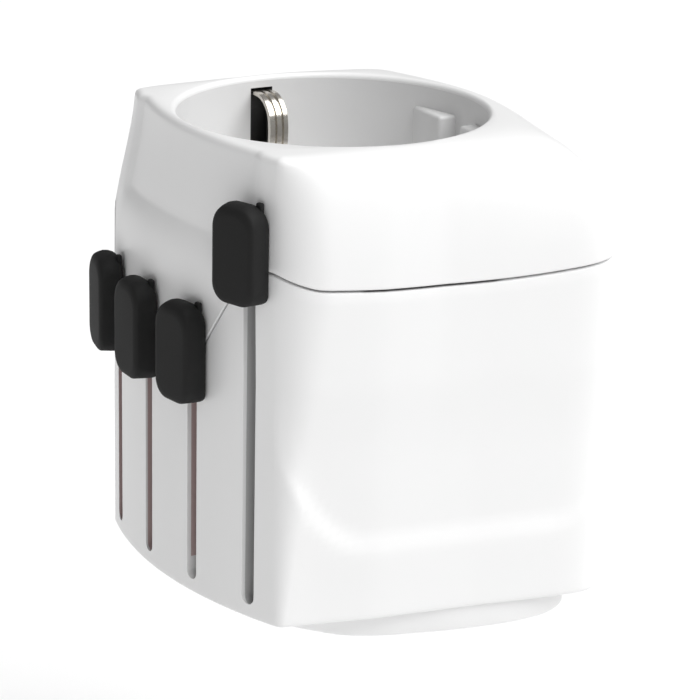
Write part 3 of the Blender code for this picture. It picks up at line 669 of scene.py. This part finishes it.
def make_clip(node):
    """A bent strip of spring metal with two grooves along its face."""
    low, high = box_mm(node)
    side = math.copysign(1, low.x)
    half = (high.y - low.y) / 2
    path = smooth_path(CLIP_PATH, 6)
    section = [(-half, 0.0), (-half, CLIP_T - CLIP_ROUND), (-half + CLIP_ROUND, CLIP_T)]
    for y in GROOVES:
        section += [(y - GROOVE_HALF, CLIP_T), (y - GROOVE_HALF / 2, CLIP_T - GROOVE_DEPTH),
                    (y + GROOVE_HALF / 2, CLIP_T - GROOVE_DEPTH), (y + GROOVE_HALF, CLIP_T)]
    section += [(half - CLIP_ROUND, CLIP_T), (half, CLIP_T - CLIP_ROUND), (half, 0.0)]
    rings = []
    for i, point in enumerate(path):
        ahead = (path[min(i + 1, len(path) - 1)] - path[max(i - 1, 0)]).normalized()
        outward = Vector((ahead.y, -ahead.x))
        places = [(point + outward * (out - CLIP_T / 2), y) for y, out in section]
        rings.append([(side * place.x, y, place.y) for place, y in places])
    clip = new_object("spring_" + node.split("_")[-1], loft_mesh(rings), 30)
    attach(clip, "housing")
    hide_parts(node)
    return clip


clips = [make_clip("earth_clip_left"), make_clip("earth_clip_right")]


# ---------------------------------------------------------------- materials

def procedural(name, colour, roughness, spread=0.02, grain=0.04, wear=0.15, metallic=0.0, shine=0.5):
    """A surface with mottled colour and roughness, a fine grain and edges rubbed lighter."""
    made = bpy.data.materials.new(name)
    made.use_nodes = True
    tree = made.node_tree
    shader = tree.nodes["Principled BSDF"]
    shader.inputs["Metallic"].default_value = metallic
    shader.inputs["Specular IOR Level"].default_value = shine
    coord = tree.nodes.new("ShaderNodeTexCoord")

    def noise(scale, detail):
        """A noise over the piece, in its own coordinates."""
        node = tree.nodes.new("ShaderNodeTexNoise")
        node.inputs["Scale"].default_value = scale
        node.inputs["Detail"].default_value = detail
        tree.links.new(coord.outputs["Object"], node.inputs["Vector"])
        return node.outputs["Fac"]

    mottle, fine = noise(140.0, 4.0), noise(3200.0, 2.0)
    ramp = tree.nodes.new("ShaderNodeValToRGB")
    ramp.color_ramp.elements[0].color = (*[c * (1 - spread) for c in colour], 1)
    ramp.color_ramp.elements[1].color = (*[min(1.0, c * (1 + spread)) for c in colour], 1)
    tree.links.new(mottle, ramp.inputs["Fac"])
    geometry = tree.nodes.new("ShaderNodeNewGeometry")
    edge = tree.nodes.new("ShaderNodeMapRange")
    edge.inputs["From Min"].default_value = 0.52
    edge.inputs["From Max"].default_value = 0.62
    edge.inputs["To Max"].default_value = wear
    tree.links.new(geometry.outputs["Pointiness"], edge.inputs["Value"])
    worn = tree.nodes.new("ShaderNodeMix")
    worn.data_type = "RGBA"
    worn.inputs["B"].default_value = (*[min(1.0, c * 1.25 + 0.03) for c in colour], 1)
    tree.links.new(edge.outputs["Result"], worn.inputs["Factor"])
    tree.links.new(ramp.outputs["Color"], worn.inputs["A"])
    tree.links.new(worn.outputs["Result"], shader.inputs["Base Color"])
    rough = tree.nodes.new("ShaderNodeMapRange")
    rough.inputs["To Min"].default_value = roughness - 0.06
    rough.inputs["To Max"].default_value = roughness + 0.06
    tree.links.new(mottle, rough.inputs["Value"])
    tree.links.new(rough.outputs["Result"], shader.inputs["Roughness"])
    bump = tree.nodes.new("ShaderNodeBump")
    bump.inputs["Strength"].default_value = grain
    bump.inputs["Distance"].default_value = 0.0001
    tree.links.new(fine, bump.inputs["Height"])
    tree.links.new(bump.outputs["Normal"], shader.inputs["Normal"])
    return made


WHITE = procedural("white_plastic", (0.86, 0.86, 0.86), 0.34, spread=0.01, grain=0.03, wear=0.1)
# painted shade: this darker grey on the recess wall stands in for the shade inside the recess
RECESS_SHADE = procedural("recess_painted_shade", (0.74, 0.74, 0.74), 0.4, spread=0.01, grain=0.03, wear=0.1)
LINING = procedural("slot_lining", (0.5, 0.38, 0.375), 0.5)
GREY_LINING = procedural("grey_lining", (0.5, 0.5, 0.5), 0.45)
BLACK = procedural("soft_touch_black", (0.013, 0.013, 0.013), 0.66, spread=0.08, grain=0.12, wear=0.1,
                   shine=0.2)
# also used as painted shade, black in the hollows behind the earth clips' windows
DARK = procedural("black_plastic", (0.05, 0.05, 0.05), 0.5, spread=0.05)
GREY = procedural("grey_plastic", (0.3, 0.29, 0.29), 0.5)
NICKEL = procedural("nickel", (0.66, 0.63, 0.58), 0.22, spread=0.05, metallic=1.0)
BRASS = procedural("brass", (0.7, 0.5, 0.25), 0.3, spread=0.08, metallic=1.0)
STEEL = procedural("steel", (0.5, 0.5, 0.5), 0.35, spread=0.05, metallic=1.0)
CERAMIC = procedural("ceramic", (0.7, 0.66, 0.58), 0.5, spread=0.03)
BY_SLOT = {"white_plastic": WHITE, "soft_touch_black": BLACK, "grey_plastic": GREY, "black_plastic": DARK,
           "nickel": NICKEL, "brass": BRASS, "steel": STEEL, "ceramic": CERAMIC}


def assign(piece, *made):
    """Puts materials on a piece and keeps which face wears which."""
    chosen = [face.material_index for face in piece.data.polygons]
    piece.data.materials.clear()
    for each in made:
        piece.data.materials.append(each)
    piece.data.polygons.foreach_set("material_index", [min(i, len(made) - 1) for i in chosen])


for row in frame["record"]["subparts"]:
    assign(frame["nodes"][row["node"]], BY_SLOT[row["material_slot"]])
assign(lower, WHITE, LINING, GREY_LINING)
# slot 4 paints shade on the recess wall, slot 3 paints the hollows behind the windows black as shade
assign(upper, WHITE, LINING, GREY_LINING, DARK, RECESS_SHADE)
for piece in knobs:
    assign(piece, BLACK)
for piece in clips:
    assign(piece, NICKEL)


# ---------------------------------------------------------------- floor, light and camera

VIEW = (61.0, 18.082, 1.211)  # azimuth, angle downwards and roll, in degrees
CAMERA_AT = (317.361, -172.625, 145.953 + BASE)
LENS = 149.14
FLOOR_Z = -60.0              # the pins reach down to -20 when they are out
SKY = 0.3
KEY_TOWARD = (0.46, 0.34, 0.83)
KEY_SPREAD = 60
KEY_STRENGTH = 3.2


def make_camera():
    """The camera of the viewing angle."""
    azimuth, down_angle, roll = (math.radians(angle) for angle in VIEW)
    data = bpy.data.cameras.new("camera")
    data.lens = LENS
    data.sensor_width = 36.0
    data.clip_start = 0.01
    camera = bpy.data.objects.new("camera", data)
    bpy.context.scene.collection.objects.link(camera)
    right = Vector((math.cos(azimuth), math.sin(azimuth), 0))
    ahead = Vector((-math.sin(azimuth) * math.cos(down_angle), math.cos(azimuth) * math.cos(down_angle),
                    -math.sin(down_angle)))
    down = ahead.cross(right)
    x_axis = math.cos(roll) * right - math.sin(roll) * down
    y_axis = -(math.sin(roll) * right + math.cos(roll) * down)
    turn = Matrix((x_axis, y_axis, -ahead)).transposed().to_4x4()
    turn.translation = Vector(CAMERA_AT) * MM
    camera.matrix_world = turn
    bpy.context.scene.camera = camera


def make_light(name, toward, spread, strength):
    """A far, wide lamp in the direction toward, which lights the floor evenly."""
    data = bpy.data.lights.new(name, "SUN")
    data.angle = math.radians(spread)
    data.energy = strength
    lamp = bpy.data.objects.new(name, data)
    bpy.context.scene.collection.objects.link(lamp)
    lamp.rotation_euler = Vector(toward).to_track_quat("Z", "Y").to_euler()


def make_stage():
    """A pale floor and an even white surrounding."""
    work = bmesh.new()
    bmesh.ops.create_grid(work, x_segments=1, y_segments=1, size=1500)
    floor = new_object("floor", work)
    floor.location.z = FLOOR_Z * MM
    pale = procedural("floor", (0.95, 0.95, 0.95), 0.8, spread=0.005, grain=0.0, wear=0.0)
    floor.data.materials.append(pale)
    world = bpy.data.worlds.new("studio")
    world.use_nodes = True
    world.node_tree.nodes["Background"].inputs["Color"].default_value = (1, 1, 1, 1)
    world.node_tree.nodes["Background"].inputs["Strength"].default_value = SKY
    bpy.context.scene.world = world
    bpy.context.scene.view_settings.view_transform = "Standard"


make_camera()
make_stage()
make_light("key", KEY_TOWARD, KEY_SPREAD, KEY_STRENGTH)
